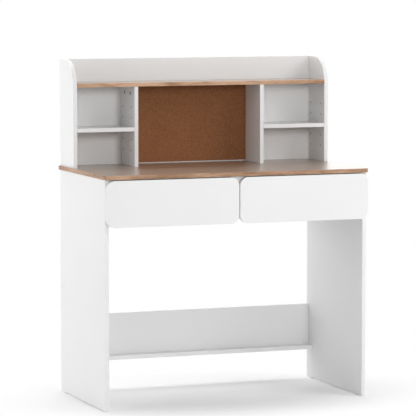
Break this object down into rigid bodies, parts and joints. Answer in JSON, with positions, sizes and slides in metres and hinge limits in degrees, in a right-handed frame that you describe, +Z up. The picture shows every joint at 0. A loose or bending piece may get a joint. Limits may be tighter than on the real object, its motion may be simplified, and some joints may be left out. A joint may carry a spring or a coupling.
{
  "type": "writing table",
  "caption": "Child's writing table with panel legs, a wood-effect top, handle-free drawers on roller runners, and a hutch with cubbies, a cork board and a top shelf.",
  "frame": {"origin": "on the floor, under the middle of the desktop's outline", "axes": "+X to the right and +Y to the back as seen from the seat, +Z up"},
  "size_m": [0.85, 0.447, 1.029],
  "materials": {
    "white_board": "white melamine, satin",
    "wood_effect_face": "grey-brown wood-grain melamine, satin",
    "wood_effect_edge": "warm brown wood-grain edge band, satin",
    "cork": "fine cork granules, matte",
    "drawer_sheet": "white-lacquered hardboard",
    "runner_steel": "white epoxy coat",
    "nylon": "natural nylon",
    "cam_zinc": "die-cast zinc",
    "plated_steel": "zinc plated",
    "dowel_wood": "beech",
    "glide_plastic": "moulded"
  },
  "bodies": {
    "table_frame": {"assembly_screws": "plated_steel", "back_board_screws": "plated_steel", "cam_bolts": "plated_steel", "cam_locks": "cam_zinc", "centre_partition": "white_board", "channel_screws": "plated_steel", "cork_board": "cork", "desktop": "wood_effect_face", "desktop_edge_band": "wood_effect_edge", "foot_glides": "glide_plastic", "front_rail": "white_board", "hutch_back_board": "white_board", "hutch_left_divider": "white_board", "hutch_left_side": "white_board", "hutch_right_divider": "white_board", "hutch_right_side": "white_board", "hutch_top_shelf": "wood_effect_face", "left_drawer_left_channel": "runner_steel", "left_drawer_right_channel": "runner_steel", "left_leg_panel": "white_board", "left_small_shelf": "white_board", "lower_back_board": "white_board", "lower_shelf": "white_board", "rear_apron": "white_board", "right_drawer_left_channel": "runner_steel", "right_drawer_right_channel": "runner_steel", "right_leg_panel": "white_board", "right_small_shelf": "white_board", "shelf_pins": "plated_steel", "top_shelf_edge_band": "wood_effect_edge", "wood_dowels": "dowel_wood"},
    "left_drawer": {"left_drawer_back": "white_board", "left_drawer_bottom": "drawer_sheet", "left_drawer_cam_bolts": "plated_steel", "left_drawer_cam_locks": "cam_zinc", "left_drawer_front": "white_board", "left_drawer_left_runner": "runner_steel", "left_drawer_left_side": "white_board", "left_drawer_right_runner": "runner_steel", "left_drawer_right_side": "white_board", "left_drawer_screws": "plated_steel"},
    "left_drawer_left_back_roller": {"left_drawer_left_back_roller": "nylon"},
    "left_drawer_left_front_roller": {"left_drawer_left_front_roller": "nylon"},
    "left_drawer_right_back_roller": {"left_drawer_right_back_roller": "nylon"},
    "left_drawer_right_front_roller": {"left_drawer_right_front_roller": "nylon"},
    "right_drawer": {"right_drawer_back": "white_board", "right_drawer_bottom": "drawer_sheet", "right_drawer_cam_bolts": "plated_steel", "right_drawer_cam_locks": "cam_zinc", "right_drawer_front": "white_board", "right_drawer_left_runner": "runner_steel", "right_drawer_left_side": "white_board", "right_drawer_right_runner": "runner_steel", "right_drawer_right_side": "white_board", "right_drawer_screws": "plated_steel"},
    "right_drawer_left_back_roller": {"right_drawer_left_back_roller": "nylon"},
    "right_drawer_left_front_roller": {"right_drawer_left_front_roller": "nylon"},
    "right_drawer_right_back_roller": {"right_drawer_right_back_roller": "nylon"},
    "right_drawer_right_front_roller": {"right_drawer_right_front_roller": "nylon"}
  },
  "joints": [
    {"name": "left_drawer_slide", "type": "slide", "parent": "table_frame", "child": "left_drawer", "axis": [0, -1, 0], "range_m": [0, 0.26]},
    {"name": "right_drawer_slide", "type": "slide", "parent": "table_frame", "child": "right_drawer", "axis": [0, -1, 0], "range_m": [0, 0.26]},
    {"name": "left_drawer_left_front_roller_spin", "type": "hinge", "parent": "table_frame", "child": "left_drawer_left_front_roller", "pos_m": [-0.401, -0.1935, 0.5845], "axis": [1, 0, 0], "range_deg": [-5, 1760]},
    {"name": "left_drawer_left_back_roller_spin", "type": "hinge", "parent": "left_drawer", "child": "left_drawer_left_back_roller", "pos_m": [-0.401, 0.1275, 0.5845], "axis": [1, 0, 0], "range_deg": [-5, 1760]},
    {"name": "left_drawer_right_front_roller_spin", "type": "hinge", "parent": "table_frame", "child": "left_drawer_right_front_roller", "pos_m": [-0.012, -0.1935, 0.5845], "axis": [1, 0, 0], "range_deg": [-5, 1760]},
    {"name": "left_drawer_right_back_roller_spin", "type": "hinge", "parent": "left_drawer", "child": "left_drawer_right_back_roller", "pos_m": [-0.012, 0.1275, 0.5845], "axis": [1, 0, 0], "range_deg": [-5, 1760]},
    {"name": "right_drawer_left_front_roller_spin", "type": "hinge", "parent": "table_frame", "child": "right_drawer_left_front_roller", "pos_m": [0.012, -0.1935, 0.5845], "axis": [1, 0, 0], "range_deg": [-5, 1760]},
    {"name": "right_drawer_left_back_roller_spin", "type": "hinge", "parent": "right_drawer", "child": "right_drawer_left_back_roller", "pos_m": [0.012, 0.1275, 0.5845], "axis": [1, 0, 0], "range_deg": [-5, 1760]},
    {"name": "right_drawer_right_front_roller_spin", "type": "hinge", "parent": "table_frame", "child": "right_drawer_right_front_roller", "pos_m": [0.401, -0.1935, 0.5845], "axis": [1, 0, 0], "range_deg": [-5, 1760]},
    {"name": "right_drawer_right_back_roller_spin", "type": "hinge", "parent": "right_drawer", "child": "right_drawer_right_back_roller", "pos_m": [0.401, 0.1275, 0.5845], "axis": [1, 0, 0], "range_deg": [-5, 1760]}
  ],
  "couplings": [
    {"joint": "left_drawer_left_front_roller_spin", "follows": "left_drawer_slide", "rad_per_m": 117.65},
    {"joint": "left_drawer_left_back_roller_spin", "follows": "left_drawer_slide", "rad_per_m": 117.65},
    {"joint": "left_drawer_right_front_roller_spin", "follows": "left_drawer_slide", "rad_per_m": 117.65},
    {"joint": "left_drawer_right_back_roller_spin", "follows": "left_drawer_slide", "rad_per_m": 117.65},
    {"joint": "right_drawer_left_front_roller_spin", "follows": "right_drawer_slide", "rad_per_m": 117.65},
    {"joint": "right_drawer_left_back_roller_spin", "follows": "right_drawer_slide", "rad_per_m": 117.65},
    {"joint": "right_drawer_right_front_roller_spin", "follows": "right_drawer_slide", "rad_per_m": 117.65},
    {"joint": "right_drawer_right_back_roller_spin", "follows": "right_drawer_slide", "rad_per_m": 117.65}
  ]
}
